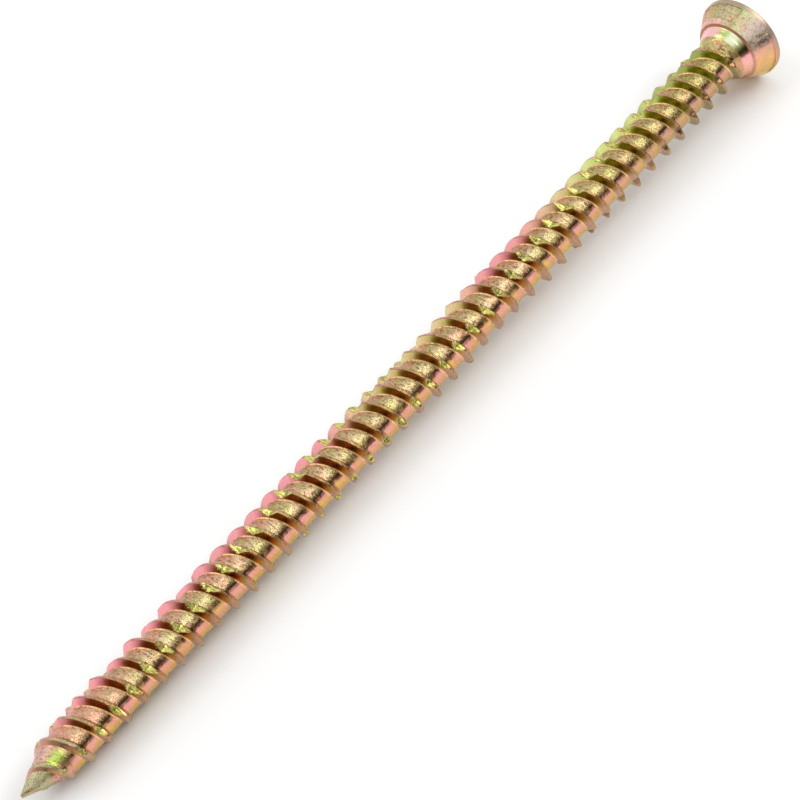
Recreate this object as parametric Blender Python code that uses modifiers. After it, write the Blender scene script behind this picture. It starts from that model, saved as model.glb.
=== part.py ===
"""Frame screw for concrete, made as one piece and lying on its side.

Metres, +Z up. The head is at +X, the tip at -X, and the screw rests on its head's rim
and on a crest of its thread near the tip, as it would on a table.

The screw is first built upright, tip down, with its axis on Z and its tip at z = 0. An
empty then lays it down.
"""

import math

import bmesh
import bpy
from mathutils import Matrix

# Shank
SCREW_LENGTH = 0.152
CORE_DIAMETER = 0.0055
TIP_DIAMETER = 0.00044
TIP_CONE_LENGTH = 0.0063

# Thread: two ridges, right-handed, wound side by side
CREST_DIAMETER = 0.0075
RIDGE_COUNT = 2
RIDGE_SPACING = 0.00342
FRONT_FLANK_WIDTH = 0.00044
CREST_WIDTH = 0.0004
BACK_FLANK_WIDTH = 0.0005
THREAD_ANGLE = -4.0
THREAD_START = 0.0008
THREAD_GROWTH_LENGTH = 0.012
THREAD_RUNOUT_LENGTH = 0.0012
THREAD_END_BELOW_TOP = 0.0048

# Notches that break the crests, in rows that wind slowly the other way
NOTCH_ROWS = 3
NOTCH_OPENING = 40.0
NOTCH_FLOOR_HEIGHT = 0.00014
NOTCH_TWIST_PER_METRE = -1800.0
NOTCH_ANGLE_AT_TIP = 24.8
FACETS_BETWEEN_NOTCHES = 5

# Head, from its flat top downwards
HEAD_DIAMETER = 0.01254
HEAD_EDGE_BEVEL = 0.00016
RIM_HEIGHT = 0.0009
CONE_HEIGHT = 0.0028
CONE_FOOT_DIAMETER = 0.0095
SHOULDER_HEIGHT = 0.00015
COLLAR_DIAMETER = 0.0086
COLLAR_HEIGHT = 0.0006
COLLAR_TAPER = 0.00025
FLARE_HEIGHT = 0.0022
NECK_DIAMETER = 0.0059
NECK_HEIGHT = 0.0003
HEAD_SEGMENTS = 48
FLARE_STEPS = 6

# Milling pockets under the head, with raised pads between them
POCKET_COUNT = 3
POCKET_ARC = 72.0
POCKET_DEPTH = 0.00024
POCKET_RIM_MARGIN = 0.0001
POCKET_FOOT_MARGIN = 0.0009
POCKET_FIRST_ANGLE = 36.5
POCKET_SEGMENTS = 8

# Six-lobed drive recess in the flat top
RECESS_LOBES = 6
RECESS_OUTER_DIAMETER = 0.0056
RECESS_INNER_DIAMETER = 0.00395
RECESS_DEPTH = 0.003
RECESS_POINTS_PER_LOBE = 8

# How far a hidden end reaches into its neighbour, and a cutter past the face it cuts
OVERLAP = 0.0006

NAME = "concrete_screw"
SMOOTH_ANGLE = math.radians(28.0)
SURFACE_COLOR = (0.62, 0.46, 0.22, 1.0)

CORE_RADIUS = CORE_DIAMETER / 2
RIDGE_HEIGHT = (CREST_DIAMETER - CORE_DIAMETER) / 2
LEAD = RIDGE_COUNT * RIDGE_SPACING
RIM_BOTTOM = SCREW_LENGTH - RIM_HEIGHT
CONE_BOTTOM = RIM_BOTTOM - CONE_HEIGHT
COLLAR_TOP = CONE_BOTTOM - SHOULDER_HEIGHT
COLLAR_BOTTOM = COLLAR_TOP - COLLAR_HEIGHT
FLARE_BOTTOM = COLLAR_BOTTOM - FLARE_HEIGHT
NECK_BOTTOM = FLARE_BOTTOM - NECK_HEIGHT
SHANK_TOP = COLLAR_BOTTOM
THREAD_END = SCREW_LENGTH - THREAD_END_BELOW_TOP


def clear_scene():
    for obj in list(bpy.data.objects):
        bpy.data.objects.remove(obj, do_unlink=True)


def new_collection(name):
    collection = bpy.data.collections.new(name)
    bpy.context.scene.collection.children.link(collection)
    return collection


def new_object(name, mesh, collection):
    obj = bpy.data.objects.new(name, mesh)
    collection.objects.link(obj)
    return obj


def mesh_from_bmesh(name, bm):
    mesh = bpy.data.meshes.new(name)
    bm.to_mesh(mesh)
    bm.free()
    return mesh


def evaluated_mesh(obj):
    """The object's shape with its modifiers, as a mesh of its own."""
    depsgraph = bpy.context.evaluated_depsgraph_get()
    return bpy.data.meshes.new_from_object(obj.evaluated_get(depsgraph))


def shade(mesh):
    mesh.shade_smooth()
    mesh.set_sharp_from_angle(angle=SMOOTH_ANGLE)


def zinc_material():
    """Yellow zinc plating."""
    material = bpy.data.materials.new("yellow_zinc")
    material.use_nodes = True
    shader = material.node_tree.nodes["Principled BSDF"]
    shader.inputs["Base Color"].default_value = SURFACE_COLOR
    shader.inputs["Metallic"].default_value = 1.0
    shader.inputs["Roughness"].default_value = 0.32
    return material


def mix(start, end, share):
    return start + (end - start) * share


def ramp(value, start, end):
    """0 up to start, 1 from end on, and straight between them."""
    return min(max((value - start) / (end - start), 0.0), 1.0)


def ease(share):
    return share * share * (3 - 2 * share)


# Shank and thread

def core_radius(z):
    return mix(TIP_DIAMETER / 2, CORE_RADIUS, ramp(z, 0.0, TIP_CONE_LENGTH))


def ridge_height(z):
    """The ridge grows from the tip on and fades out below the head."""
    grown = ramp(z, THREAD_START, THREAD_START + THREAD_GROWTH_LENGTH)
    faded = ramp(z, THREAD_END, THREAD_END - THREAD_RUNOUT_LENGTH)
    return RIDGE_HEIGHT * min(grown, faded)


def column_angles():
    """Angles of the shank's columns, measured from a row of notches.

    Each notch has a column in its bottom and one on each edge, and equal facets fill
    the arc to the next notch.
    """
    sector = 360.0 / NOTCH_ROWS
    half = NOTCH_OPENING / 2
    facet = (sector - NOTCH_OPENING) / FACETS_BETWEEN_NOTCHES
    angles = []
    for row in range(NOTCH_ROWS):
        angles.append(row * sector)
        for step in range(FACETS_BETWEEN_NOTCHES + 1):
            angles.append(row * sector + half + step * facet)
    return angles


def ridge_section():
    """Corners of one ridge as (axial place, share of the ridge's height)."""
    return [
        (-FRONT_FLANK_WIDTH, 0.0),
        (0.0, 1.0),
        (CREST_WIDTH, 1.0),
        (CREST_WIDTH + BACK_FLANK_WIDTH, 0.0),
    ]


def row_height(axial_place, column_angle):
    """Where a helical row crosses a column.

    A row climbs by one lead per turn, while the columns turn back slowly with z, so
    the place is the solution of z = axial_place + LEAD * angle(z) / 360.
    """
    start_angle = column_angle + NOTCH_ANGLE_AT_TIP - THREAD_ANGLE
    back_turn = LEAD * NOTCH_TWIST_PER_METRE / 360.0
    return (axial_place + LEAD * start_angle / 360.0) / (1.0 - back_turn)


def shank_point(z, column_angle, share, in_notch):
    height = ridge_height(z) * share
    if in_notch:
        height = min(height, NOTCH_FLOOR_HEIGHT)
    radius = core_radius(z) + height
    angle = math.radians(column_angle + NOTCH_ANGLE_AT_TIP + NOTCH_TWIST_PER_METRE * z)
    return (radius * math.cos(angle), radius * math.sin(angle), z)


def shank_mesh():
    """Loft of the ridge's section along the helix, closed by a disc at each end.

    Each corner of the section is a row that runs round the shank. Rows that pass an
    end are gathered on that end's ring.
    """
    bm = bmesh.new()
    section = ridge_section()
    angles = column_angles()
    columns = len(angles)
    rows_per_turn = RIDGE_COUNT * len(section)
    first_ridge = -RIDGE_COUNT - 2
    last_ridge = math.ceil(SHANK_TOP * 1.1 / RIDGE_SPACING) + 2
    vertices = {}

    def vertex(column, row):
        column_turns, column = divmod(column, columns)
        row += column_turns * rows_per_turn
        ridge, corner = divmod(row, len(section))
        offset, share = section[corner]
        z = row_height(ridge * RIDGE_SPACING + offset, angles[column])
        key = (column, row)
        if z <= 0.0:
            key = (column, "tip")
        if z >= SHANK_TOP:
            key = (column, "top")
        if key not in vertices:
            z = min(max(z, 0.0), SHANK_TOP)
            in_notch = column % (columns // NOTCH_ROWS) == 0
            vertices[key] = bm.verts.new(shank_point(z, angles[column], share, in_notch))
        return vertices[key]

    for row in range(first_ridge * len(section), last_ridge * len(section)):
        for column in range(columns):
            corners = (
                vertex(column, row),
                vertex(column + 1, row),
                vertex(column + 1, row + 1),
                vertex(column, row + 1),
            )
            distinct = list(dict.fromkeys(corners))
            if len(distinct) > 2:
                bm.faces.new(distinct)
    bm.faces.new([vertices[(column, "tip")] for column in reversed(range(columns))])
    bm.faces.new([vertices[(column, "top")] for column in range(columns)])
    mesh = mesh_from_bmesh("shank", bm)
    shade(mesh)
    return mesh


# Head

def turned_mesh(name, profile, segments, arc=360.0):
    """Turns a profile of (radius, z) points, outer side top to bottom, about Z."""
    mesh = bpy.data.meshes.new(name)
    points = [(radius, 0.0, z) for radius, z in profile]
    edges = [(i, i + 1) for i in range(len(points) - 1)]
    if arc < 360.0:
        edges.append((len(points) - 1, 0))
    mesh.from_pydata(points, edges, [])
    blank = new_object(name, mesh, bpy.context.scene.collection)
    screw = blank.modifiers.new("Turn", "SCREW")
    screw.angle = math.radians(arc)
    screw.steps = segments
    screw.render_steps = segments
    screw.use_merge_vertices = True
    screw.merge_threshold = 0.00001
    turned = evaluated_mesh(blank)
    bpy.data.objects.remove(blank, do_unlink=True)

    bm = bmesh.new()
    bm.from_mesh(turned)
    open_edges = [edge for edge in bm.edges if edge.is_boundary]
    if open_edges:
        bmesh.ops.holes_fill(bm, edges=open_edges)
    bmesh.ops.recalc_face_normals(bm, faces=bm.faces)
    bm.to_mesh(turned)
    bm.free()
    shade(turned)
    return turned


def head_profile():
    """From the centre of the flat top, over the rim, down to a foot in the shank."""
    head_radius = HEAD_DIAMETER / 2
    collar_radius = COLLAR_DIAMETER / 2
    neck_radius = NECK_DIAMETER / 2
    foot_radius = CORE_RADIUS * 0.9
    profile = [
        (0.0, SCREW_LENGTH),
        (head_radius - HEAD_EDGE_BEVEL, SCREW_LENGTH),
        (head_radius, SCREW_LENGTH - HEAD_EDGE_BEVEL),
        (head_radius, RIM_BOTTOM),
        (CONE_FOOT_DIAMETER / 2, CONE_BOTTOM),
        (collar_radius, COLLAR_TOP),
    ]
    for step in range(FLARE_STEPS + 1):
        share = step / FLARE_STEPS
        radius = mix(collar_radius - COLLAR_TAPER, neck_radius, ease(share))
        profile.append((radius, mix(COLLAR_BOTTOM, FLARE_BOTTOM, share)))
    profile += [
        (neck_radius, NECK_BOTTOM),
        (foot_radius, NECK_BOTTOM - OVERLAP),
        (0.0, NECK_BOTTOM - OVERLAP),
    ]
    return profile


def pocket_profile():
    """Cross-section of a milling pocket: a strip along the cone under the head."""
    rim = (HEAD_DIAMETER / 2, RIM_BOTTOM)
    foot = (CONE_FOOT_DIAMETER / 2, CONE_BOTTOM)
    slant = math.dist(rim, foot)
    down = ((foot[0] - rim[0]) / slant, (foot[1] - rim[1]) / slant)
    outward = (-down[1], down[0])

    def place(along, out):
        return (
            rim[0] + down[0] * along + outward[0] * out,
            rim[1] + down[1] * along + outward[1] * out,
        )

    upper = POCKET_RIM_MARGIN
    lower = slant - POCKET_FOOT_MARGIN
    return [
        place(upper, OVERLAP),
        place(lower, OVERLAP),
        place(lower, -POCKET_DEPTH),
        place(upper, -POCKET_DEPTH),
    ]


def recess_outline():
    """Six rounded lobes, as a radius that swings between two diameters."""
    middle = (RECESS_OUTER_DIAMETER + RECESS_INNER_DIAMETER) / 4
    swing = (RECESS_OUTER_DIAMETER - RECESS_INNER_DIAMETER) / 4
    count = RECESS_LOBES * RECESS_POINTS_PER_LOBE
    points = []
    for i in range(count):
        angle = 2 * math.pi * i / count
        radius = middle + swing * math.cos(RECESS_LOBES * angle)
        points.append((radius * math.cos(angle), radius * math.sin(angle)))
    return points


def recess_mesh():
    """The lobed outline as a flat curve, extruded and made a mesh."""
    curve = bpy.data.curves.new("recess_outline", "CURVE")
    curve.dimensions = "2D"
    curve.fill_mode = "BOTH"
    curve.extrude = (RECESS_DEPTH + OVERLAP) / 2
    outline = recess_outline()
    spline = curve.splines.new("POLY")
    spline.points.add(len(outline) - 1)
    for point, (x, y) in zip(spline.points, outline):
        point.co = (x, y, 0.0, 1.0)
    spline.use_cyclic_u = True
    guide = new_object("recess_outline", curve, bpy.context.scene.collection)
    mesh = evaluated_mesh(guide)
    bpy.data.objects.remove(guide, do_unlink=True)

    bm = bmesh.new()
    bm.from_mesh(mesh)
    bmesh.ops.remove_doubles(bm, verts=bm.verts, dist=0.00001)
    bmesh.ops.recalc_face_normals(bm, faces=bm.faces)
    bmesh.ops.translate(bm, verts=bm.verts, vec=(0, 0, SCREW_LENGTH + (OVERLAP - RECESS_DEPTH) / 2))
    bm.to_mesh(mesh)
    bm.free()
    return mesh


# Putting it together

def add_boolean(obj, operation, other):
    modifier = obj.modifiers.new(other.name, "BOOLEAN")
    modifier.operation = operation
    modifier.solver = "EXACT"
    modifier.object = other


def new_tool(name, mesh, collection, axis):
    """A hidden object that the screw is joined with or cut by."""
    tool = new_object(name, mesh, collection)
    tool.parent = axis
    tool.hide_render = True
    tool.display_type = "WIRE"
    return tool


def resting_matrix(points):
    """Lays the upright screw down, head at +X, on its rim and its lowest crest.

    Seen from the side, the rim's lowest point and one crest carry the screw. That
    crest is the one that the line from the rim reaches at the smallest slope.
    """
    rim = max(points, key=lambda p: p.x)
    below_rim = [p for p in points if p.z < SCREW_LENGTH / 2]
    slope = min((rim.x - p.x) / (rim.z - p.z) for p in below_rim)
    laid = Matrix.Rotation(math.pi / 2 - math.atan(slope), 4, "Y")
    placed = [laid @ p for p in points]
    lowest = [min(p[i] for p in placed) for i in range(3)]
    highest = [max(p[i] for p in placed) for i in range(3)]
    centre = [(low + high) / 2 for low, high in zip(lowest, highest)]
    return Matrix.Translation((-centre[0], -centre[1], -lowest[2])) @ laid


def build_screw():
    parts = new_collection(NAME)
    tools = new_collection(NAME + "_cutters")
    axis = new_object("screw_axis", None, parts)

    screw = new_object(NAME, shank_mesh(), parts)
    screw.parent = axis
    screw.data.materials.append(zinc_material())

    head = new_tool("head_blank", turned_mesh("head_blank", head_profile(), HEAD_SEGMENTS), tools, axis)
    # Half a facet's turn puts a flat of the rim, and not a corner, at the bottom.
    head.rotation_euler.z = math.pi / HEAD_SEGMENTS
    add_boolean(screw, "UNION", head)

    pocket = turned_mesh("pocket", pocket_profile(), POCKET_SEGMENTS, POCKET_ARC)
    for i in range(POCKET_COUNT):
        cutter = new_tool(f"pocket_{i + 1}", pocket, tools, axis)
        middle = POCKET_FIRST_ANGLE + i * 360.0 / POCKET_COUNT
        cutter.rotation_euler.z = math.radians(middle - POCKET_ARC / 2)
        add_boolean(screw, "DIFFERENCE", cutter)

    recess = new_tool("drive_recess", recess_mesh(), tools, axis)
    add_boolean(screw, "DIFFERENCE", recess)

    bpy.context.view_layer.update()
    shape = evaluated_mesh(screw)
    axis.matrix_world = resting_matrix([vertex.co.copy() for vertex in shape.vertices])
    bpy.data.meshes.remove(shape)


clear_scene()
build_screw()
bpy.context.view_layer.update()
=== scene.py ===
"""Looks of the concrete screw: plated steel on a plain pale floor.

The screw is shaped upright, tip down at z = 0 with its axis on Z, and is then laid on
the floor where the CAD solid lies. Lengths are in metres.
"""

import math

import bpy
import numpy as np
from mathutils import Matrix, Vector, noise


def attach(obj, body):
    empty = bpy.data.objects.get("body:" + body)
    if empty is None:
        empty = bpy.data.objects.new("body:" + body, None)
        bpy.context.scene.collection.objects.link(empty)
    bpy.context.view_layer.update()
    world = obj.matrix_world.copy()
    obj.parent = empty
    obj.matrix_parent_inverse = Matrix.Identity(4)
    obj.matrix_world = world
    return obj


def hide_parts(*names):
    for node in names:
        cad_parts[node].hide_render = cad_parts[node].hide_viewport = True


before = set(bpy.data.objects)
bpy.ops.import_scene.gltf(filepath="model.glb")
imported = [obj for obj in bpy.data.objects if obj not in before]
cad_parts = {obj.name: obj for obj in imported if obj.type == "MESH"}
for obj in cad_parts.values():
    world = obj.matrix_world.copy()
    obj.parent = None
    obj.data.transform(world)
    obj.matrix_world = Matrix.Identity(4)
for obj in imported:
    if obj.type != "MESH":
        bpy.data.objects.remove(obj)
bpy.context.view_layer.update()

# Where the CAD solid lies
AXIS_RISE = 0.0193583
TIP_PLACE = (-0.0760426, 0.0, 0.0033303)

# Shank, as in the part's source
SCREW_LENGTH = 0.152
CORE_RADIUS = 0.00275
TIP_RADIUS = 0.00022
TIP_CONE_LENGTH = 0.0063
SHANK_TOP = 0.1473
THREAD_END = 0.1472

# Thread, as in the part's source
RIDGE_HEIGHT = 0.001
RIDGE_COUNT = 2
RIDGE_SPACING = 0.00342
LEAD = RIDGE_COUNT * RIDGE_SPACING
THREAD_ANGLE = -4.0
THREAD_START = 0.0008
THREAD_GROWTH_LENGTH = 0.012
THREAD_RUNOUT_LENGTH = 0.0012
NOTCH_ROWS = 3
NOTCH_TWIST_PER_METRE = -1800.0
NOTCH_ANGLE_AT_TIP = 24.8
NOTCH_FLOOR_HEIGHT = 0.00012

# One ridge from the side of the tip: (axial place, share of its height, flank, root line)
RIDGE_SECTION = (
    (-0.00074, 0.0, 0.0, 0.0),
    (-0.00062, 0.0, 0.0, 0.8),
    (-0.00053, 0.015, 0.0, 1.0),
    (-0.00047, 0.05, 0.1, 1.0),
    (-0.00041, 0.15, 1.0, 0.3),
    (-0.00030, 0.38, 1.0, 0.0),
    (-0.00016, 0.68, 1.0, 0.0),
    (-0.00005, 0.92, 1.0, 0.0),
    (0.00002, 1.0, 0.3, 0.0),
    (0.00009, 1.01, 0.0, 0.0),
    (0.00023, 1.01, 0.0, 0.0),
    (0.00037, 0.99, 0.0, 0.0),
    (0.00046, 0.90, 0.0, 0.0),
    (0.00062, 0.58, 0.0, 0.0),
    (0.00078, 0.24, 0.0, 0.0),
    (0.00089, 0.07, 0.0, 0.0),
    (0.00102, 0.0, 0.0, 0.0),
    (0.00136, 0.0, 0.0, 0.0),
    (0.00170, 0.0, 0.0, 0.0),
    (0.00204, 0.0, 0.0, 0.0),
    (0.00238, 0.0, 0.0, 0.0),
    (0.00262, 0.0, 0.0, 0.0),
)

# Columns from one row of notches to the next, in degrees from the notch's middle
NOTCH_COLUMNS = (-24.0, -20.0, -16.0, -11.0, -6.0, -2.0, 2.0, 6.0, 11.0, 16.0, 20.0, 24.0)
PLAIN_COLUMNS = 17
NOTCH_HALF_OPENING = 20.0

# Direction that faces the camera, as an angle about the upright screw's axis
NEAR_SIDE_ANGLE = 216.3

# Sides of the screw, in degrees round it as side_of gives them
LOWER_SIDE = 0.0
UPPER_SIDE = 180.0

# Uneven ridges: shares of their height, places along the screw, and reaches in degrees
WORN_STRETCHES = ((0.013, 0.036), (0.052, 0.075), (0.089, 0.097))
WORN_FADE = 0.003
WORN_DROP = 0.42
WORN_REACH = 50.0
HEAD_END_RISE = 0.16
HEAD_END_REACH = 40.0
HEAD_END_START = (0.100, 0.106)
CLAW_SIDE = 8.0
CLAW_DROP = 0.24
CLAW_SLOPE = (3.0, 30.0)
CLAW_END = (75.0, 45.0)
UPPER_REACH = 60.0
MIDDLE_RISE = 0.12
MIDDLE_PLACE = 0.062
MIDDLE_FADE = (0.016, 0.004)
SECOND_RIDGE_DROP = 0.40
SECOND_RIDGE_START = (0.013, 0.016)
SECOND_RIDGE_END = (0.040, 0.034)

# Small roughness of the shank: (size, waves per metre, seed)
NOTCH_WALL_WAVES = (0.10, 700.0, 4)
RIDGE_WAVES = (0.07, 420.0, 3)
BURR_WAVES = (1.0, 800.0, 6)
DENT_WAVES = ((0.00003, 1300.0, 1), (0.00002, 3100.0, 2))
NOTCH_RIM_HEIGHT = 1.05 * RIDGE_HEIGHT
BURR_HEIGHT = 0.17 * RIDGE_HEIGHT
BURR_SHARE = 0.35
BURR_WALL = 1.1
BURR_REACH = 0.3
BURR_SECTION_SHARE = 0.9

# The ridges end below the CAD solid's crests where they touch the floor.
FLOOR_SIDE_REACH = 40.0
FLOOR_SIDE_HEIGHT = 0.985 * RIDGE_HEIGHT

# Head, from its flat top downwards
HEAD_RADIUS = 0.006256
RIM_BOTTOM = 0.1511
CONE_BOTTOM = 0.1483
CONE_FOOT_RADIUS = 0.00475
COLLAR_TOP = 0.14815
COLLAR_RADIUS = 0.0043
COLLAR_BOTTOM = 0.14755
COLLAR_TAPER = 0.00025
COLLAR_FOOT_RADIUS = COLLAR_RADIUS - COLLAR_TAPER
FLARE_BOTTOM = 0.14535
NECK_RADIUS = 0.00295
NECK_BOTTOM = 0.14505
HEAD_START = 0.14738
HEAD_COLUMNS = 240
HEAD_WAVES = (0.000012, 900.0, 5)
TOP_RING_RADII = (0.0052, 0.0040, 0.0032)
ROUNDING = 0.00018

# Milled pockets in the cone
POCKET_COUNT = 3
POCKET_ARC = 72.0
POCKET_DEPTH = 0.00024
POCKET_FIRST_ANGLE = 36.5
POCKET_BOTTOM = 0.1491
POCKET_TOP = 0.1510
POCKET_FOOT_EASE = 0.00006
POCKET_TOP_EASE = 0.00004
POCKET_SIDE_EASE = 1.0
CONE_ROWS = (
    0.14845, 0.1487, 0.14895, 0.14904, 0.14910, 0.14916, 0.1494, 0.1497, 0.1500,
    0.1503, 0.1506, 0.15085, 0.15096, 0.15100, 0.15104,
)

# Worn spots on the cone: (side, reach in degrees), and the band that they lie in
HOLLOW_SPOT = (61.0, 9.0)
HOLLOW_DEPTH = 0.00025
MARK_SPOT = (164.0, 7.0)
SPOT_FOOT = (0.1491, 0.1496)
SPOT_TOP = (0.15095, 0.1506)

# Drive recess
RECESS_LOBES = 6
RECESS_MIDDLE_RADIUS = 0.0023875
RECESS_SWING = 0.0004125
RECESS_DEPTH = 0.003
RECESS_CENTRE_DEPTH = 0.0038
RECESS_RINGS = (
    (0.00012, 0.0),
    (0.0, 0.0001),
    (0.0, 0.0012),
    (0.0, RECESS_DEPTH),
    (-0.0008, RECESS_DEPTH + 0.0003),
)

SHARP_EDGE_DEGREES = 38.0

# Studio
CAMERA_PLACE = (-0.210809, -0.234621, 0.313244)
CAMERA_FORWARD = (0.473217, 0.532881, -0.701501)
CAMERA_UP = (0.631670, 0.349804, 0.691832)
CAMERA_LENS = 153.69
CAMERA_CLIP_START = 0.01
FLOOR_HALF_SIZE = 4.0
FLOOR_TONES = ((0.90, 0.90, 0.90, 1.0), (0.93, 0.93, 0.93, 1.0))
FLOOR_TONE_SCALE = 1.5
FLOOR_ROUGHNESS = 0.9
FLOOR_SPECULAR = 0.1
DARK_WALL_DIRECTION = (0.0, 0.45, 1.0)
DARK_WALL_EDGE = (-0.10, 0.22)
DARK_WALL_STRENGTH = 0.10
BRIGHT_ROOM_STRENGTH = 0.95


def new_mesh_object(name, points, faces):
    mesh = bpy.data.meshes.new(name)
    mesh.from_pydata(points, [], faces)
    obj = bpy.data.objects.new(name, mesh)
    bpy.context.scene.collection.objects.link(obj)
    return obj


def ramp(value, start, end):
    return min(max((value - start) / (end - start), 0.0), 1.0)


def ease(share):
    return share * share * (3 - 2 * share)


def mix(start, end, share):
    return start + (end - start) * share


# Screw

class Surface:
    """Collects the screw's points, faces and the masks that its material reads."""

    def __init__(self):
        self.points = []
        self.faces = []
        self.sides = []
        names = ("flank", "crest", "notch", "root", "mark", "hollow", "top")
        self.masks = {name: [] for name in names}

    def add(self, radius, degrees, z, **masks):
        angle = math.radians(degrees)
        self.points.append((radius * math.cos(angle), radius * math.sin(angle), z))
        self.sides.append((math.cos(angle), math.sin(angle), z / SCREW_LENGTH))
        for name, values in self.masks.items():
            values.append(masks.get(name, 0.0))
        return len(self.points) - 1


def core_radius(z):
    """The core without its thread, up to the collar under the head."""
    if z < NECK_BOTTOM:
        return mix(TIP_RADIUS, CORE_RADIUS, ramp(z, 0.0, TIP_CONE_LENGTH))
    neck = mix(CORE_RADIUS, NECK_RADIUS, ramp(z, NECK_BOTTOM, FLARE_BOTTOM))
    return mix(neck, COLLAR_FOOT_RADIUS, ease(ramp(z, FLARE_BOTTOM, COLLAR_BOTTOM)))


def ridge_growth(z):
    grown = ramp(z, THREAD_START, THREAD_START + THREAD_GROWTH_LENGTH)
    faded = ramp(z, THREAD_END, THREAD_END - THREAD_RUNOUT_LENGTH)
    return min(grown, faded)


def column_angles():
    sector = 360.0 / NOTCH_ROWS
    first, last = NOTCH_COLUMNS[0], NOTCH_COLUMNS[-1]
    gap = (sector - (last - first)) / (PLAIN_COLUMNS + 1)
    angles = []
    for row in range(NOTCH_ROWS):
        angles += [row * sector + angle for angle in NOTCH_COLUMNS]
        angles += [row * sector + last + gap * (i + 1) for i in range(PLAIN_COLUMNS)]
    return angles


def row_height(place, column_angle):
    start_angle = column_angle + NOTCH_ANGLE_AT_TIP - THREAD_ANGLE
    back_turn = LEAD * NOTCH_TWIST_PER_METRE / 360.0
    return (place + LEAD * start_angle / 360.0) / (1.0 - back_turn)


def waves(point, size, scale, seed):
    """Smooth noise between about -size and size, with a number of waves per metre."""
    shift = Vector((seed * 7.31, seed * 3.17, seed * 1.93))
    return size * noise.noise(Vector(point) * scale + shift)


def side_of(degrees):
    """Degrees round the screw: 0 its lower outline, 90 facing the camera, 180 the upper."""
    return (90.0 + NEAR_SIDE_ANGLE - degrees) % 360.0


def apart(first, second):
    """Degrees between two directions, from 0 to 180."""
    return abs((first - second + 180.0) % 360.0 - 180.0)


def near(degrees, centre, reach):
    """1 at the centre, falling smoothly to 0 at the reach."""
    return ease(ramp(apart(degrees, centre), reach, 0.0))


def wear(degrees, z, start):
    """How high the ridge stands at a place, as the rolling dies left it."""
    side = side_of(degrees)
    worn = 0.0
    for first, last in WORN_STRETCHES:
        worn = max(worn, ramp(z, first - WORN_FADE, first) * ramp(z, last + WORN_FADE, last))
    off_claw = apart(side, CLAW_SIDE)
    upper = near(side, UPPER_SIDE, UPPER_REACH)
    height = 1.0 - WORN_DROP * worn * near(side, LOWER_SIDE, WORN_REACH)
    height += HEAD_END_RISE * near(side, LOWER_SIDE, HEAD_END_REACH) * ramp(z, *HEAD_END_START)
    height -= CLAW_DROP * (1.0 - worn) * ramp(off_claw, *CLAW_SLOPE) * ramp(off_claw, *CLAW_END)
    height += MIDDLE_RISE * upper * ramp(abs(z - MIDDLE_PLACE), *MIDDLE_FADE)
    if start == 1:
        stretch = ramp(z, *SECOND_RIDGE_START) * ramp(z, *SECOND_RIDGE_END)
        height -= SECOND_RIDGE_DROP * upper * stretch
    return height


def shank_vertex(surface, z, column_angle, section, start):
    share, flank, root = section
    sector = 360.0 / NOTCH_ROWS
    from_notch = (column_angle + sector / 2) % sector - sector / 2
    degrees = column_angle + NOTCH_ANGLE_AT_TIP + NOTCH_TWIST_PER_METRE * z
    angle = math.radians(degrees)
    place = (CORE_RADIUS * math.cos(angle), CORE_RADIUS * math.sin(angle), z)
    growth = ridge_growth(z)

    full = RIDGE_HEIGHT * growth * share * wear(degrees, z, start)
    wall = abs(from_notch) / NOTCH_HALF_OPENING + waves(place, *NOTCH_WALL_WAVES)
    cut = mix(NOTCH_FLOOR_HEIGHT, NOTCH_RIM_HEIGHT, max(wall, 0.0))
    height = min(full, cut) * (1.0 + waves(place, *RIDGE_WAVES))
    if share > BURR_SECTION_SHARE:
        at_rim = ease(ramp(abs(wall - BURR_WALL), BURR_REACH, 0.0))
        burr = at_rim * max(waves(place, *BURR_WAVES) + BURR_SHARE, 0.0)
        height += BURR_HEIGHT * growth * burr
    if near(degrees, 0.0, FLOOR_SIDE_REACH) > 0.0:
        height = min(height, FLOOR_SIDE_HEIGHT)
    in_notch = 1.0 if full > cut else 0.0

    dents = sum(waves(place, *each) for each in DENT_WAVES)
    dents *= ramp(z, 0.0, TIP_CONE_LENGTH) * (1.0 - share)
    core = core_radius(z)
    return surface.add(
        max(core, min(core, CORE_RADIUS) + height) + dents,
        degrees,
        z,
        flank=flank * (1.0 - in_notch),
        crest=ramp(share, 0.85, 1.0) * (1.0 - in_notch) * (1.0 - flank),
        notch=in_notch * min(share * 3, 1.0) * ramp(wall, 0.95, 0.70),
        root=root,
    )


def add_shank(surface):
    """The ridge's section swept along the helix. Returns the ring at the top."""
    angles = column_angles()
    columns = len(angles)
    size = len(RIDGE_SECTION)
    rows_per_turn = RIDGE_COUNT * size
    known = {}

    def vertex(column, row):
        turns, column = divmod(column, columns)
        row += turns * rows_per_turn
        ridge, corner = divmod(row, size)
        place, *section = RIDGE_SECTION[corner]
        z = row_height(ridge * RIDGE_SPACING + place, angles[column])
        key = (column, row)
        if z <= 0.0:
            key = (column, "tip")
        if z >= SHANK_TOP:
            key = (column, "top")
        if key not in known:
            z = min(max(z, 0.0), SHANK_TOP)
            start = ridge % RIDGE_COUNT
            known[key] = shank_vertex(surface, z, angles[column], section, start)
        return known[key]

    # The rows lean with the helix, so they start below the tip and end above the top.
    first = -RIDGE_COUNT - 2
    last = math.ceil(SHANK_TOP * 1.1 / RIDGE_SPACING) + 2
    for row in range(first * size, last * size):
        for column in range(columns):
            corners = (
                vertex(column, row),
                vertex(column + 1, row),
                vertex(column + 1, row + 1),
                vertex(column, row + 1),
            )
            distinct = tuple(dict.fromkeys(corners))
            if len(distinct) > 2:
                surface.faces.append(distinct)

    centre = surface.add(0.0, 0.0, 0.0)
    tip = [known[(column, "tip")] for column in range(columns)]
    for i in range(columns):
        surface.faces.append((centre, tip[(i + 1) % columns], tip[i]))
    return [known[(column, "top")] for column in range(columns)]


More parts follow.
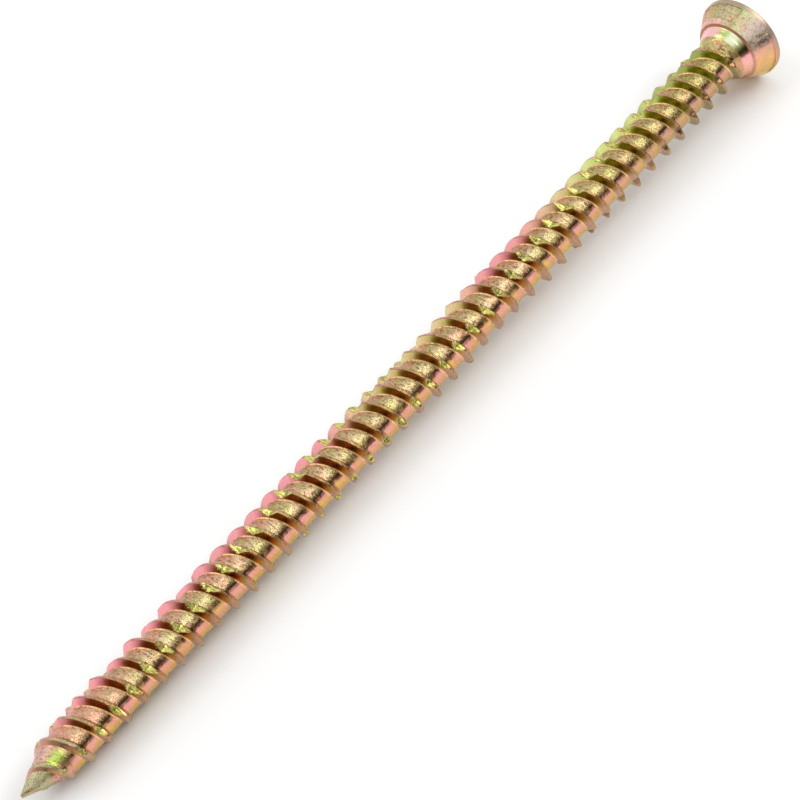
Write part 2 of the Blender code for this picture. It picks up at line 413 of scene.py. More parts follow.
def head_rows():
    """Rows of (radius, z, how far into the milled band), from the neck to the top face."""
    foot, top = COLLAR_FOOT_RADIUS, SCREW_LENGTH
    rows = [
        (core_radius(HEAD_START), HEAD_START, 0.0),
        (foot, COLLAR_BOTTOM, 0.0),
        (mix(foot, COLLAR_RADIUS, 0.4), mix(COLLAR_BOTTOM, COLLAR_TOP, 0.3), 0.0),
        (mix(foot, COLLAR_RADIUS, 0.8), mix(COLLAR_BOTTOM, COLLAR_TOP, 0.7), 0.0),
        (COLLAR_RADIUS, COLLAR_TOP - 0.00003, 0.0),
        (COLLAR_RADIUS + 0.00006, COLLAR_TOP + 0.00001, 0.0),
        (CONE_FOOT_RADIUS - 0.00007, CONE_BOTTOM - 0.00003, 0.0),
        (CONE_FOOT_RADIUS, CONE_BOTTOM + 0.00004, 0.0),
    ]
    for z in CONE_ROWS:
        radius = mix(CONE_FOOT_RADIUS, HEAD_RADIUS, ramp(z, CONE_BOTTOM, RIM_BOTTOM))
        into = ease(ramp(z, POCKET_BOTTOM - POCKET_FOOT_EASE, POCKET_BOTTOM + POCKET_FOOT_EASE))
        into *= ease(ramp(z, POCKET_TOP + POCKET_TOP_EASE, POCKET_TOP - POCKET_TOP_EASE))
        rows.append((radius, z, into))
    rows += [
        (HEAD_RADIUS - 0.00002, RIM_BOTTOM - 0.00002, 0.0),
        (HEAD_RADIUS, RIM_BOTTOM + 0.00004, 0.0),
        (HEAD_RADIUS, mix(RIM_BOTTOM, top, 0.5), 0.0),
        (HEAD_RADIUS, top - ROUNDING, 0.0),
        (HEAD_RADIUS - 0.00003, top - 0.00008, 0.0),
        (HEAD_RADIUS - 0.00010, top - 0.00001, 0.0),
        (HEAD_RADIUS - ROUNDING, top, 0.0),
    ]
    return rows + [(radius, top, 0.0) for radius in TOP_RING_RADII]


def in_pocket(degrees):
    step = 360.0 / POCKET_COUNT
    off = abs((degrees - POCKET_FIRST_ANGLE + step / 2) % step - step / 2)
    edge = POCKET_ARC / 2
    return ease(ramp(off, edge + POCKET_SIDE_EASE, edge - POCKET_SIDE_EASE))


def worn_spot(degrees, z, side, reach):
    """1 in the middle of a worn spot half way up the cone, falling to 0 round it."""
    band = ease(ramp(z, *SPOT_FOOT)) * ease(ramp(z, *SPOT_TOP))
    return band * near(side_of(degrees), side, reach)


def add_head(surface):
    """The head in rings, up the outside and down into the recess. Returns the first."""
    rings = []
    rise, spread = RIM_BOTTOM - CONE_BOTTOM, HEAD_RADIUS - CONE_FOOT_RADIUS
    slope = math.hypot(rise, spread)
    inward = (-rise / slope, spread / slope)
    size, scale, seed = HEAD_WAVES

    angles = [360.0 * i / HEAD_COLUMNS for i in range(HEAD_COLUMNS)]
    for radius, z, into in head_rows():
        on_top = z > SCREW_LENGTH - 0.00005
        ring = []
        for degrees in angles:
            hollow = worn_spot(degrees, z, *HOLLOW_SPOT)
            mark = worn_spot(degrees, z, *MARK_SPOT)
            depth = POCKET_DEPTH * into * in_pocket(degrees) + HOLLOW_DEPTH * hollow
            r = radius + inward[0] * depth
            if z < SCREW_LENGTH - 0.0001:
                angle = math.radians(degrees)
                place = (radius * math.cos(angle), radius * math.sin(angle), z)
                r += waves(place, size, scale, seed) - size
            masks = {"mark": mark, "hollow": hollow, "top": float(on_top)}
            ring.append(surface.add(r, degrees, z + inward[1] * depth, **masks))
        rings.append(ring)

    for wider, depth in RECESS_RINGS:
        ring = []
        for degrees in angles:
            swing = RECESS_SWING * math.cos(math.radians(RECESS_LOBES * degrees))
            radius = RECESS_MIDDLE_RADIUS + swing + wider
            ring.append(surface.add(radius, degrees, SCREW_LENGTH - depth, top=1.0))
        rings.append(ring)

    for lower, upper in zip(rings, rings[1:]):
        for i in range(HEAD_COLUMNS):
            j = (i + 1) % HEAD_COLUMNS
            surface.faces.append((lower[i], lower[j], upper[j], upper[i]))
    centre = surface.add(0.0, 0.0, SCREW_LENGTH - RECESS_CENTRE_DEPTH, top=1.0)
    last = rings[-1]
    for i in range(HEAD_COLUMNS):
        surface.faces.append((last[i], last[(i + 1) % HEAD_COLUMNS], centre))
    return rings[0]


def join_rings(surface, lower, upper):
    """Triangles between two rings with different numbers of points."""
    def turned(ring):
        points = surface.points
        return sorted((math.atan2(points[i][1], points[i][0]) % math.tau, i) for i in ring)

    low, high = turned(lower), turned(upper)
    i = j = 0
    while i < len(low) or j < len(high):
        next_low = low[(i + 1) % len(low)][0] + (math.tau if i + 1 >= len(low) else 0.0)
        next_high = high[(j + 1) % len(high)][0] + (math.tau if j + 1 >= len(high) else 0.0)
        a, b = low[i % len(low)][1], high[j % len(high)][1]
        if j >= len(high) or (i < len(low) and next_low < next_high):
            surface.faces.append((a, low[(i + 1) % len(low)][1], b))
            i += 1
        else:
            surface.faces.append((a, high[(j + 1) % len(high)][1], b))
            j += 1


def add_attribute(mesh, name, kind, values):
    attribute = mesh.attributes.new(name, kind, "POINT")
    field = "vector" if kind == "FLOAT_VECTOR" else "value"
    attribute.data.foreach_set(field, np.array(values, dtype=np.float32).ravel())


def build_screw():
    surface = Surface()
    shank_ring = add_shank(surface)
    head_ring = add_head(surface)
    join_rings(surface, shank_ring, head_ring)

    tilt = math.atan(AXIS_RISE)
    laid = Matrix.Translation(TIP_PLACE) @ Matrix.Rotation(math.pi / 2 - tilt, 4, "Y")
    points = [tuple(laid @ Vector(p)) for p in surface.points]
    screw = new_mesh_object("screw", points, surface.faces)
    mesh = screw.data
    for name, values in surface.masks.items():
        add_attribute(mesh, name, "FLOAT", values)
    add_attribute(mesh, "side", "FLOAT_VECTOR", surface.sides)
    mesh.shade_smooth()
    mesh.set_sharp_from_angle(angle=math.radians(SHARP_EDGE_DEGREES))
    return screw


# Colours round the screw

def turn_share(degrees):
    """Share of a turn, counted from the far side, of a place in degrees as in side_of."""
    return (degrees + 90.0) / 360.0


def shades(*stops):
    """Colour stops round the screw, from (degrees as in side_of, red, green, blue)."""
    return [(turn_share(degrees), (*color, 1.0)) for degrees, *color in sorted(stops)]


# Round the core. The near-black stops from 58 to 71 degrees are painted reflection: the dark
# streak that the core reflects all along its length.
CORE_TONES_AND_REFLECTED_STREAK = shades(
    (-90, 0.60, 0.42, 0.20), (0, 0.62, 0.44, 0.11), (20, 0.76, 0.53, 0.10),
    (35, 0.80, 0.43, 0.13), (46, 0.82, 0.38, 0.25), (55, 0.76, 0.33, 0.25),
    (58, 0.20, 0.08, 0.04), (65, 0.08, 0.03, 0.015), (71, 0.12, 0.055, 0.025),
    (76, 0.40, 0.28, 0.13), (95, 0.66, 0.53, 0.28), (112, 0.57, 0.44, 0.24),
    (128, 0.50, 0.33, 0.19), (140, 0.49, 0.31, 0.18), (180, 0.54, 0.34, 0.21),
    (215, 0.66, 0.50, 0.24), (235, 0.36, 0.22, 0.09), (250, 0.66, 0.48, 0.22),
    (270, 0.60, 0.42, 0.20),
)
# Round the front flanks. The dark stops from 64 to 131 degrees, where the flank faces the
# camera, are partly the plating's red and partly painted shade from the ridge before each
# flank.
FLANK_TONES_AND_SHADE = shades(
    (-90, 0.24, 0.08, 0.02), (-50, 0.22, 0.07, 0.02), (-25, 0.50, 0.26, 0.15),
    (20, 0.60, 0.36, 0.24), (44, 0.62, 0.34, 0.22), (55, 0.55, 0.26, 0.10),
    (64, 0.50, 0.22, 0.03), (76, 0.26, 0.08, 0.012), (92, 0.20, 0.05, 0.01),
    (120, 0.15, 0.04, 0.01), (131, 0.30, 0.09, 0.06), (141, 0.62, 0.19, 0.19),
    (152, 0.84, 0.28, 0.31), (163, 1.00, 0.38, 0.42), (195, 0.90, 0.34, 0.36),
    (215, 0.40, 0.13, 0.08), (230, 0.18, 0.05, 0.01), (270, 0.24, 0.08, 0.02),
)
# Near the head, green. The dark stops from 66 to 122 degrees are partly painted shade in the
# same way.
HEAD_END_FLANK_TONES_AND_SHADE = shades(
    (-90, 0.18, 0.13, 0.01), (-50, 0.18, 0.12, 0.01), (-25, 0.46, 0.30, 0.16),
    (20, 0.66, 0.43, 0.32), (44, 0.64, 0.40, 0.28), (56, 0.42, 0.23, 0.10),
    (66, 0.18, 0.09, 0.01), (92, 0.16, 0.11, 0.008), (122, 0.17, 0.15, 0.008),
    (132, 0.34, 0.36, 0.04), (141, 0.66, 0.78, 0.18), (180, 0.74, 0.86, 0.30),
    (215, 0.40, 0.42, 0.08), (230, 0.17, 0.15, 0.01), (270, 0.18, 0.13, 0.01),
)
# Round the crests. The darker stop at 72 degrees is the painted reflected streak over the
# crests.
CREST_SHADES = shades(
    (-90, 0.50, 0.34, 0.20), (20, 0.50, 0.32, 0.18), (56, 0.42, 0.26, 0.12),
    (72, 0.36, 0.20, 0.08), (100, 0.42, 0.26, 0.10), (122, 0.46, 0.27, 0.14),
    (136, 0.66, 0.30, 0.26), (180, 0.72, 0.34, 0.34), (270, 0.50, 0.34, 0.20),
)
# Round the tip. The dark stops at 60 and 72 degrees carry the painted reflected streak onto the
# tip.
TIP_SHADES = shades(
    (-90, 0.60, 0.42, 0.28), (10, 0.60, 0.34, 0.26), (42, 0.74, 0.36, 0.28),
    (52, 0.60, 0.27, 0.19), (60, 0.22, 0.11, 0.05), (72, 0.30, 0.22, 0.08),
    (80, 0.46, 0.46, 0.13), (88, 0.58, 0.74, 0.12), (100, 0.64, 0.80, 0.18),
    (112, 0.52, 0.44, 0.22), (128, 0.62, 0.37, 0.29), (180, 0.70, 0.42, 0.36),
    (270, 0.60, 0.42, 0.28),
)
# Round the collar. The pale white-green stops from 94 to 106 degrees are a painted highlight,
# and the dark stops from 61 to 82 a painted dark reflection; the pinks are the plating.
COLLAR_TONES_AND_REFLECTIONS = shades(
    (-90, 0.74, 0.50, 0.28), (10, 0.88, 0.50, 0.34), (40, 0.96, 0.48, 0.40),
    (56, 0.96, 0.44, 0.46), (61, 0.25, 0.14, 0.06), (72, 0.09, 0.07, 0.03),
    (82, 0.32, 0.30, 0.12), (94, 0.84, 0.92, 0.58), (106, 0.88, 0.96, 0.62),
    (114, 0.50, 0.62, 0.22), (126, 0.62, 0.54, 0.26), (138, 0.90, 0.56, 0.50),
    (160, 1.00, 0.56, 0.58), (270, 0.74, 0.50, 0.28),
)
# Round the cone. The pale stops from 84 to 109 degrees, over the raised pad, are a painted
# highlight.
CONE_TONES_AND_HIGHLIGHT = shades(
    (-90, 0.72, 0.52, 0.26), (5, 0.88, 0.56, 0.24), (30, 0.96, 0.52, 0.22),
    (46, 0.94, 0.48, 0.34), (58, 0.70, 0.46, 0.36), (66, 0.62, 0.50, 0.36),
    (72, 0.72, 0.56, 0.44), (84, 0.80, 0.62, 0.54), (98, 0.78, 0.72, 0.46),
    (109, 0.64, 0.72, 0.34), (113, 0.40, 0.38, 0.18), (140, 0.44, 0.38, 0.22),
    (165, 0.52, 0.42, 0.22), (180, 0.66, 0.44, 0.30), (270, 0.72, 0.52, 0.26),
)

# Colour stops of the head's flat top, by the slow noise
TOP_SHADES = (
    (0.36, (0.78, 0.42, 0.32, 1.0)), (0.46, (0.74, 0.56, 0.30, 1.0)),
    (0.54, (0.70, 0.62, 0.34, 1.0)), (0.66, (0.58, 0.66, 0.26, 1.0)),
)

# The bright speck below is a painted glint on the rough core.
PAINTED_GLINT = (0.86, 0.76, 0.42, 1.0)
DARK_SPECK = (0.18, 0.085, 0.03, 1.0)
PALE_SPECK = (0.90, 0.84, 0.62, 1.0)
ROSE_PATCH = (0.78, 0.33, 0.26, 1.0)
GREEN_PATCH = (0.46, 0.48, 0.10, 1.0)
NOTCH_DARK = (0.32, 0.28, 0.05, 1.0)
NOTCH_BRIGHT = (0.80, 0.80, 0.22, 1.0)
ROOT_ORANGE = (0.95, 0.60, 0.26, 1.0)
# The dark green below is partly the plating's green and partly painted shade on the flanks near
# the head.
HEAD_END_SHADED_FLANK = (0.16, 0.20, 0.01, 1.0)
HEAD_END_GREEN = (0.40, 0.37, 0.07, 1.0)
STRIP_PINK = (0.90, 0.42, 0.36, 1.0)
STRIP_AMBER = (0.82, 0.54, 0.12, 1.0)
STRIP_DULL = (0.52, 0.34, 0.20, 1.0)
# Lighter breaks in the painted reflected streak
REFLECTED_STREAK_GAP = (0.52, 0.32, 0.14, 1.0)
# The dark brown below is painted shade in the cone's hollow, and also the colour of dark flecks
# beside it.
HOLLOW_SHADE_AND_FLECK_BROWN = (0.13, 0.10, 0.07, 1.0)
MARK_GOLD = (0.52, 0.44, 0.10, 1.0)
CONE_FOOT_PINK = (0.92, 0.50, 0.46, 1.0)
RIM_GREY = (0.42, 0.31, 0.23, 1.0)
# The red below is painted shade in the crease between collar and cone.
CREASE_SHADE_RED = (0.38, 0.17, 0.10, 1.0)
TIP_PALE = (0.50, 0.46, 0.27, 1.0)
TIP_BROWN = (0.46, 0.26, 0.15, 1.0)
TIP_CREST = (0.42, 0.40, 0.22, 1.0)

# Noise in the plating: (scale, detail, roughness, distortion)
HUE_NOISE = (330.0, 3.0, 0.6, 0.4)
GRAIN_NOISE = (3900.0, 3.0, 0.65, 0.3)
FINE_NOISE = (8000.0, 2.0, 0.6)
MOTTLE_NOISE = (3400.0, 3.0, 0.65, 0.5)
GRAIN_STRETCH = (0.00125, 0.00125, SCREW_LENGTH)
HUE_WAVER = 0.045
GRAIN_WAVER = 0.06

# Each window below is (start, end), or (start, end, value before, value after).
# Windows on the slow noise of the hue
ROSE_HUES = (0.50, 0.40)
GREEN_HUES = (0.53, 0.62)
STRIP_PINK_HUES = (0.50, 0.42, 0.0, 0.5)
STRIP_AMBER_HUES = (0.52, 0.59, 0.0, 0.75)
REFLECTED_STREAK_GAP_HUES = (0.50, 0.60, 0.0, 0.65)
ROOT_DULL_HUES = (0.42, 0.58, 0.0, 0.6)
CONE_GREEN_HUES = (0.54, 0.64, 0.0, 0.5)
CONE_ROSE_HUES = (0.48, 0.38, 0.0, 0.5)

# Windows on the grain and the mottle
DARK_GRAIN = (0.46, 0.37)
BRIGHT_GRAIN = (0.53, 0.66)
NOTCH_GRAIN = (0.38, 0.56)
GLOSS_GRAIN = (0.3, 0.7, 0.20, 0.34)
CONE_DARK_MOTTLE = (0.48, 0.38, 0.0, 0.45)
CONE_PALE_MOTTLE = (0.52, 0.62, 0.0, 0.35)
FLECK_MOTTLE = (0.55, 0.44, 0.0, 0.65)
HOLLOW_MOTTLE = (0.62, 0.45, 0.6, 1.0)
TOP_MOTTLE = (0.45, 0.35, 0.0, 0.4)

# Windows along the screw, in shares of its length
APEX_STRETCH = (0.028, 0.021)
TIP_STRETCH = (0.050, 0.038)
TIP_FLANK_STRETCH = (0.075, 0.035, 0.0, 0.6)
TIP_CREST_STRETCH = (0.085, 0.055, 0.0, 0.7)
ROOT_STRETCH = (0.035, 0.075)
ROSY_STRETCH = (0.16, 0.07)
MIDDLE_GREEN_START = (0.40, 0.46)
MIDDLE_GREEN_END = (0.63, 0.57, 0.0, 0.6)
HEAD_END_FLANK_STRETCH = (0.65, 0.80)
HEAD_END_SHADED_FLANK_STRETCH = (0.82, 0.93, 0.0, 0.6)
HEAD_END_CORE_STRETCH = (0.60, 0.90, 0.0, 0.65)
DULL_STRIP_STRETCH = (0.70, 0.88, 0.0, 0.5)
LIMY_STRETCH = (0.68, 0.60)
HEAD_STRETCH = (0.9640, 0.9665)
CREASE_STRETCH = (0.97445, 0.9748)
CONE_STRETCH = (0.97565, 0.9760)
CONE_FOOT_STRETCH = (0.9830, 0.9795)
RIM_STRETCH = (0.99395, 0.99425, 0.0, 0.75)

# Windows round the screw, in degrees as in side_of
COARSE_SECTOR = (59.4, 66.6)
PATCHY_SECTOR = (75.6, 82.8, 0.0, 0.6)
# The painted reflected streak along the core
REFLECTED_STREAK_START = (54.0, 59.4)
REFLECTED_STREAK_END = (77.4, 70.2)
MIDDLE_GREEN_SECTOR = (111.6, 129.6, 0.3, 1.0)
LIMY_SECTOR = (69.84, 100.08)
LOBE_SECTOR = (126.0, 140.4)
CREASE_SECTOR = (32.4, 72.0, 0.4, 1.0)
FLECK_START = (54.0, 60.48)
FLECK_END = (81.0, 70.2)
CONE_FOOT_SECTOR = (124.92, 142.2)
ROUGH_CONE_SECTOR = (106.2, 117.0)

# Windows on the mask of the flanks and on how coarse the core is
FLANK_EDGE = (0.3, 0.7)
CORE_SPECKS = (0.0, 1.0, 0.22, 0.75)
STRIP_SMOOTHNESS = (1.0, 0.0, 0.0, 0.8)


# Material

class Nodes:
    """Short ways to add and join shader nodes."""

    def __init__(self, name):
        self.material = bpy.data.materials.new(name)
        self.material.use_nodes = True
        self.tree = self.material.node_tree
        self.shader = self.tree.nodes["Principled BSDF"]

    def put(self, value, socket):
        if hasattr(value, "is_output"):
            self.tree.links.new(value, socket)
        else:
            socket.default_value = value

    def place(self):
        return self.tree.nodes.new("ShaderNodeTexCoord").outputs["Object"]

    def attribute(self, name, output="Fac"):
        node = self.tree.nodes.new("ShaderNodeAttribute")
        node.attribute_name = name
        return node.outputs[output]

    def math(self, operation, *values):
        node = self.tree.nodes.new("ShaderNodeMath")
        node.operation = operation
        for value, socket in zip(values, node.inputs):
            self.put(value, socket)
        return node.outputs[0]

    def times(self, first, *others):
        for other in others:
            first = self.math("MULTIPLY", first, other)
        return first

    def vector_math(self, operation, vector, other, output):
        node = self.tree.nodes.new("ShaderNodeVectorMath")
        node.operation = operation
        self.put(vector, node.inputs[0])
        node.inputs[1].default_value = other
        return node.outputs[output]

    def step(self, value, start, end, low=0.0, high=1.0):
        """Smoothly from low at the start to high at the end, and level outside."""
        node = self.tree.nodes.new("ShaderNodeMapRange")
        node.interpolation_type = "SMOOTHSTEP"
        self.put(value, node.inputs["Value"])
        node.inputs["From Min"].default_value = start
        node.inputs["From Max"].default_value = end
        node.inputs["To Min"].default_value = low
        node.inputs["To Max"].default_value = high
        return node.outputs["Result"]

    def noise(self, vector, scale, detail=2.0, rough=0.5, warp=0.0):
        node = self.tree.nodes.new("ShaderNodeTexNoise")
        self.put(vector, node.inputs["Vector"])
        node.inputs["Scale"].default_value = scale
        node.inputs["Detail"].default_value = detail
        node.inputs["Roughness"].default_value = rough
        node.inputs["Distortion"].default_value = warp
        return node.outputs["Fac"]

    def mix(self, share, start, end, kind="MIX"):
        node = self.tree.nodes.new("ShaderNodeMix")
        node.data_type = "RGBA"
        node.blend_type = kind
        self.put(share, node.inputs["Factor"])
        self.put(start, node.inputs[6])
        self.put(end, node.inputs[7])
        return node.outputs[2]

    def tint(self, share, color, other, strength):
        """The colour with a share of it turned part of the way to another."""
        return self.mix(share, color, self.mix(strength, color, other))

    def ramp(self, value, stops):
        node = self.tree.nodes.new("ShaderNodeValToRGB")
        self.put(value, node.inputs["Fac"])
        elements = node.color_ramp.elements
        elements[0].position, elements[0].color = stops[0]
        elements[1].position, elements[1].color = stops[-1]
        for position, color in stops[1:-1]:
            elements.new(position).color = color
        return node.outputs["Color"]

    def bump(self, height, distance, strength, normal=None):
        node = self.tree.nodes.new("ShaderNodeBump")
        node.inputs["Strength"].default_value = strength
        node.inputs["Distance"].default_value = distance
        self.put(height, node.inputs["Height"])
        if normal is not None:
            self.put(normal, node.inputs["Normal"])
        return node.outputs["Normal"]


class Plating(Nodes):
    """The nodes that the parts of the plating share."""

    def __init__(self, name):
        super().__init__(name)
        place = self.place()
        side = self.attribute("side", "Vector")
        split = self.tree.nodes.new("ShaderNodeSeparateXYZ")
        self.put(side, split.inputs[0])
        self.along = split.outputs["Z"]

        self.hue = self.noise(place, *HUE_NOISE)
        streaked = self.vector_math("MULTIPLY", side, GRAIN_STRETCH, "Vector")
        self.grain = self.noise(streaked, *GRAIN_NOISE)
        self.fine = self.noise(place, *FINE_NOISE)
        self.mottle = self.noise(place, *MOTTLE_NOISE)
        self.dark_grain = self.step(self.grain, *DARK_GRAIN)

        # Share of a turn round the screw, wavering a little, starting on the far side
        angle = math.radians(NEAR_SIDE_ANGLE)
        near_side = (math.cos(angle), math.sin(angle), 0.0)
        upper_side = (math.sin(angle), -math.cos(angle), 0.0)
        toward = self.vector_math("DOT_PRODUCT", side, near_side, "Value")
        across = self.vector_math("DOT_PRODUCT", side, upper_side, "Value")
        turn = self.times(self.math("ARCTAN2", across, toward), 1 / math.tau)
        turn = self.math("ADD", turn, self.waver(self.hue, HUE_WAVER))
        self.turn = self.math("ADD", turn, 0.5)
        self.ragged = self.math("ADD", self.turn, self.waver(self.grain, GRAIN_WAVER))

        # Below the dark streak, which is painted reflection, the core is smooth, and above it
        # there are patches.
        self.coarse = self.sector(*COARSE_SECTOR)
        self.patchy = self.sector(*PATCHY_SECTOR)

    def waver(self, value, size):
        return self.times(self.math("SUBTRACT", value, 0.5), size)

    def stretch(self, start, end, low=0.0, high=1.0):
        return self.step(self.along, start, end, low, high)

    def sector(self, start, end, low=0.0, high=1.0):
        return self.step(self.turn, turn_share(start), turn_share(end), low, high)

    def dark_specks(self, color, share):
        return self.mix(self.times(self.dark_grain, share), color, DARK_SPECK)


def core_color(n):
    """Rough gold with patches and painted glints, the dark streak that is painted reflection,
    and the smooth strip below it.
    """
    core = n.mix(n.coarse, n.ramp(n.turn, CORE_TONES_AND_REFLECTED_STREAK), n.ramp(n.ragged, CORE_TONES_AND_REFLECTED_STREAK))
    core = n.tint(n.times(n.step(n.hue, *ROSE_HUES), n.patchy), core, ROSE_PATCH, 0.7)
    core = n.tint(n.times(n.step(n.hue, *GREEN_HUES), n.patchy), core, GREEN_PATCH, 0.7)
    core = n.tint(n.stretch(*HEAD_END_CORE_STRETCH), core, HEAD_END_GREEN, n.patchy)

    strip = n.math("SUBTRACT", 1.0, n.coarse)
    core = n.mix(n.times(n.step(n.hue, *STRIP_PINK_HUES), strip), core, STRIP_PINK)
    core = n.mix(n.times(n.step(n.hue, *STRIP_AMBER_HUES), strip), core, STRIP_AMBER)
    core = n.mix(n.times(n.stretch(*DULL_STRIP_STRETCH), strip), core, STRIP_DULL)
    # The dark streak is painted reflection; where the hue allows, it breaks with a lighter
    # colour.
    streak = n.times(n.sector(*REFLECTED_STREAK_START), n.sector(*REFLECTED_STREAK_END))
    core = n.mix(n.times(n.step(n.hue, *REFLECTED_STREAK_GAP_HUES), streak), core, REFLECTED_STREAK_GAP)

    # Painted glints: bright specks screened over the grain on the upper, patchy side of the
    # core.
    lit = n.mix(0.6, core, PAINTED_GLINT, "SCREEN")
    core = n.mix(n.times(n.step(n.grain, *BRIGHT_GRAIN), n.patchy), core, lit)
    core = n.dark_specks(core, n.step(n.coarse, *CORE_SPECKS))
    return n.tint(n.times(n.stretch(*ROSY_STRETCH), n.patchy), core, ROSE_PATCH, 0.6)


def tip_color(n):
    tip = n.ramp(n.ragged, TIP_SHADES)
    tip = n.mix(n.stretch(*APEX_STRETCH), tip, TIP_PALE)
    return n.dark_specks(tip, 0.7)


def root_color(n):
    """The thin bright line at the foot of each ridge."""
    dull = n.ramp(n.ragged, CREST_SHADES)
    root = n.mix(n.step(n.hue, *ROOT_DULL_HUES), ROOT_ORANGE, dull)
    return n.dark_specks(root, 0.6)


def flank_color(n):
    """Pink lobes, and dark red where the flank faces the camera, partly the plating's red and
    partly painted shade from the ridge before it; turning green in the middle and nearer the
    head, where the darker green is also partly painted shade.
    """
    greenish = n.times(n.stretch(*MIDDLE_GREEN_START), n.stretch(*MIDDLE_GREEN_END))
    greenish = n.times(greenish, n.sector(*MIDDLE_GREEN_SECTOR))
    greenish = n.math("MAXIMUM", greenish, n.stretch(*HEAD_END_FLANK_STRETCH))
    red = n.ramp(n.turn, FLANK_TONES_AND_SHADE)
    flank = n.mix(greenish, red, n.ramp(n.turn, HEAD_END_FLANK_TONES_AND_SHADE))
    # Near the head the flanks darken: partly the plating's green, partly painted shade.
    flank = n.mix(n.stretch(*HEAD_END_SHADED_FLANK_STRETCH), flank, HEAD_END_SHADED_FLANK)
    return n.mix(n.stretch(*TIP_FLANK_STRETCH), flank, TIP_BROWN)


def crest_color(n):
    crest = n.dark_specks(n.ramp(n.ragged, CREST_SHADES), 0.7)
    return n.mix(n.stretch(*TIP_CREST_STRETCH), crest, TIP_CREST)


def notch_color(n):
    """Lime, but darkened with painted shade where the notches of the head's end turn to the
    lower side.
    """
    lime = n.mix(n.step(n.grain, *NOTCH_GRAIN), NOTCH_DARK, NOTCH_BRIGHT)
    # Painted shade for the notches on the lower side near the head
    dark = n.mix(0.75, n.ramp(n.ragged, CREST_SHADES), DARK_SPECK)
    limy = n.math("MAXIMUM", n.sector(*LIMY_SECTOR), n.stretch(*LIMY_STRETCH))
    return n.mix(n.times(limy, 0.85), dark, lime)


def cone_color(n, rough_side):
    # The cone's ramp carries a painted highlight over the pad.
    cone = n.ramp(n.turn, CONE_TONES_AND_HIGHLIGHT)
    cone = n.tint(n.step(n.hue, *CONE_GREEN_HUES), cone, GREEN_PATCH, 0.6)
    cone = n.tint(n.step(n.hue, *CONE_ROSE_HUES), cone, ROSE_PATCH, 0.6)
    foot = n.times(n.stretch(*CONE_FOOT_STRETCH), n.sector(*CONE_FOOT_SECTOR))
    cone = n.mix(n.times(foot, 0.8), cone, CONE_FOOT_PINK)
    specked = n.times(n.step(n.mottle, *CONE_DARK_MOTTLE), n.coarse)
    cone = n.mix(specked, cone, DARK_SPECK)
    cone = n.mix(n.times(n.step(n.mottle, *CONE_PALE_MOTTLE), rough_side), cone, PALE_SPECK)
    cone = n.mix(n.attribute("mark"), cone, MARK_GOLD)
    # Dark brown flecks from 54 to 81 degrees round the cone
    flecked = n.times(n.sector(*FLECK_START), n.sector(*FLECK_END))
    cone = n.mix(n.times(n.step(n.mottle, *FLECK_MOTTLE), flecked), cone, HOLLOW_SHADE_AND_FLECK_BROWN)
    # Painted shade in the hollow beside the pad
    hollow = n.times(n.attribute("hollow"), n.step(n.mottle, *HOLLOW_MOTTLE))
    cone = n.mix(hollow, cone, HOLLOW_SHADE_AND_FLECK_BROWN)
    return n.mix(n.stretch(*RIM_STRETCH), cone, RIM_GREY)


def collar_color(n):
    # The crease between collar and cone is painted shade in reddish brown, fainter on the lower
    # side.
    crease = n.times(n.stretch(*CREASE_STRETCH), n.sector(*CREASE_SECTOR))
    # The collar's ramp carries a painted highlight and a painted dark reflection.
    return n.mix(crease, n.ramp(n.turn, COLLAR_TONES_AND_REFLECTIONS), CREASE_SHADE_RED)


def top_color(n):
    return n.mix(n.step(n.mottle, *TOP_MOTTLE), n.ramp(n.hue, TOP_SHADES), DARK_SPECK)


def zinc_material():
    """Yellow chromate on zinc: gold with pink and green bands, and a rough core."""
    n = Plating("yellow_zinc_plating")
    on_flank = n.step(n.attribute("flank"), *FLANK_EDGE)
    on_cone = n.stretch(*CONE_STRETCH)
    on_head = n.stretch(*HEAD_STRETCH)
    rough_side = n.sector(*ROUGH_CONE_SECTOR)

    base = n.mix(n.stretch(*TIP_STRETCH), core_color(n), tip_color(n))
    in_root = n.times(n.attribute("root"), n.stretch(*ROOT_STRETCH))
    base = n.mix(in_root, base, root_color(n))
    base = n.mix(on_flank, base, flank_color(n))
    base = n.mix(n.attribute("crest"), base, crest_color(n))
    base = n.mix(n.times(n.attribute("notch"), 0.9), base, notch_color(n))
    head = n.mix(on_cone, collar_color(n), cone_color(n, rough_side))
    head = n.mix(n.attribute("top"), head, top_color(n))
    n.put(n.mix(on_head, base, head), n.shader.inputs["Base Color"])

    lobe = n.times(on_flank, n.sector(*LOBE_SECTOR))
    satin = n.math("MAXIMUM", n.times(lobe, 0.7), n.times(on_cone, 0.25))
    n.put(n.math("SUBTRACT", 1.0, satin), n.shader.inputs["Metallic"])
    rough = n.math("ADD", n.step(n.grain, *GLOSS_GRAIN), n.times(on_cone, 0.14))
    n.put(rough, n.shader.inputs["Roughness"])

    smooth = n.math("MAXIMUM", n.times(on_head, 0.8), n.times(on_flank, 0.85))
    smooth = n.math("MAXIMUM", smooth, n.step(n.coarse, *STRIP_SMOOTHNESS))
    smooth = n.math("SUBTRACT", smooth, n.times(on_cone, rough_side, 0.45))
    uneven = n.math("SUBTRACT", 1.0, smooth)
    normal = n.bump(n.times(n.grain, uneven), distance=0.00025, strength=0.5)
    normal = n.bump(n.times(n.fine, uneven), distance=0.00008, strength=0.4, normal=normal)
    n.put(normal, n.shader.inputs["Normal"])
    return n.material


def floor_material():
    n = Nodes("pale_floor")
    tone = n.noise(n.place(), FLOOR_TONE_SCALE)
    n.put(n.mix(tone, *FLOOR_TONES), n.shader.inputs["Base Color"])
    n.shader.inputs["Roughness"].default_value = FLOOR_ROUGHNESS
    n.shader.inputs["Specular IOR Level"].default_value = FLOOR_SPECULAR
    return n.material


# Studio

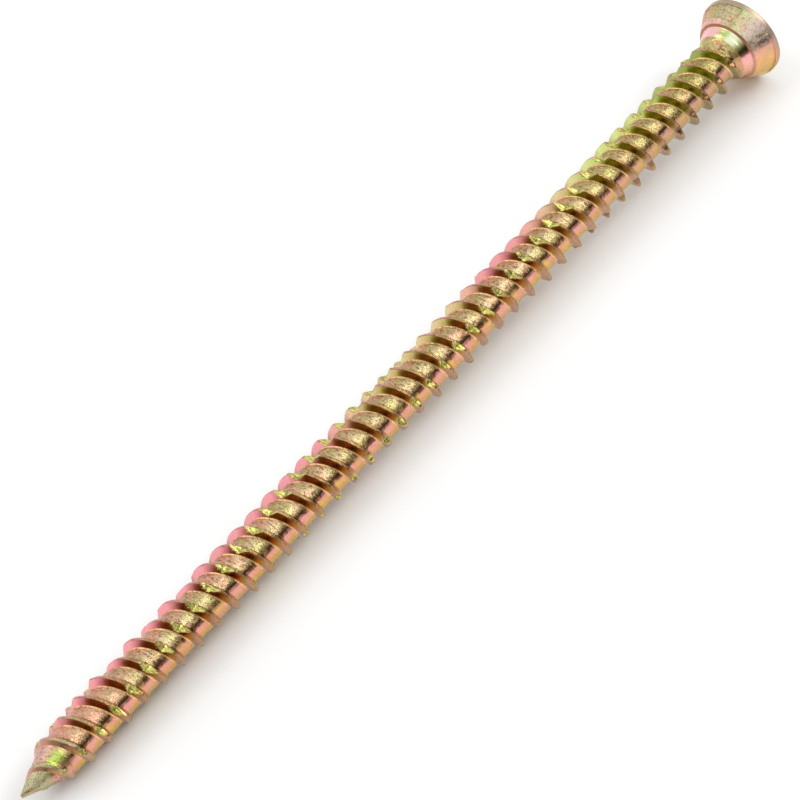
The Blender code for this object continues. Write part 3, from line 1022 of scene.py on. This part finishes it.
def build_floor():
    size = FLOOR_HALF_SIZE
    points = [(-size, -size, 0.0), (size, -size, 0.0), (size, size, 0.0), (-size, size, 0.0)]
    floor = new_mesh_object("floor", points, [(0, 1, 2, 3)])
    floor.data.materials.append(floor_material())
    return floor


def build_lamp(name, place, size, power):
    light = bpy.data.lights.new(name, "AREA")
    light.shape = "RECTANGLE"
    light.size, light.size_y = size
    light.energy = power
    lamp = bpy.data.objects.new(name, light)
    lamp.location = place
    lamp.rotation_euler = (-Vector(place)).to_track_quat("-Z", "Y").to_euler()
    bpy.context.scene.collection.objects.link(lamp)


def build_world():
    """A bright room with a dark wall low on the side of -Y."""
    world = bpy.data.worlds.new("studio")
    world.use_nodes = True
    bpy.context.scene.world = world
    tree = world.node_tree
    background = tree.nodes["Background"]
    coordinates = tree.nodes.new("ShaderNodeTexCoord")
    height = tree.nodes.new("ShaderNodeVectorMath")
    height.operation = "DOT_PRODUCT"
    height.inputs[1].default_value = DARK_WALL_DIRECTION
    shade = tree.nodes.new("ShaderNodeMapRange")
    shade.interpolation_type = "SMOOTHSTEP"
    shade.inputs["From Min"].default_value = DARK_WALL_EDGE[0]
    shade.inputs["From Max"].default_value = DARK_WALL_EDGE[1]
    shade.inputs["To Min"].default_value = DARK_WALL_STRENGTH
    shade.inputs["To Max"].default_value = BRIGHT_ROOM_STRENGTH
    tree.links.new(coordinates.outputs["Generated"], height.inputs[0])
    tree.links.new(height.outputs["Value"], shade.inputs["Value"])
    tree.links.new(shade.outputs["Result"], background.inputs["Strength"])
    background.inputs["Color"].default_value = (1.0, 1.0, 1.0, 1.0)


def build_camera():
    data = bpy.data.cameras.new("camera")
    data.lens = CAMERA_LENS
    data.clip_start = CAMERA_CLIP_START
    camera = bpy.data.objects.new("camera", data)
    bpy.context.scene.collection.objects.link(camera)
    back = -Vector(CAMERA_FORWARD).normalized()
    right = Vector(CAMERA_UP).cross(back).normalized()
    turn = Matrix((right, back.cross(right), back)).transposed()
    camera.matrix_world = Matrix.Translation(CAMERA_PLACE) @ turn.to_4x4()
    bpy.context.scene.camera = camera


screw = build_screw()
screw.data.materials.append(zinc_material())
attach(screw, "root")
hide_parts("concrete_screw")

build_floor()
build_world()
build_lamp("key", place=(-0.35, 0.45, 0.75), size=(0.45, 0.45), power=1.2)
build_lamp("fill", place=(0.6, -0.35, 0.6), size=(0.5, 0.4), power=2.4)
build_camera()
bpy.context.scene.view_settings.view_transform = "Standard"
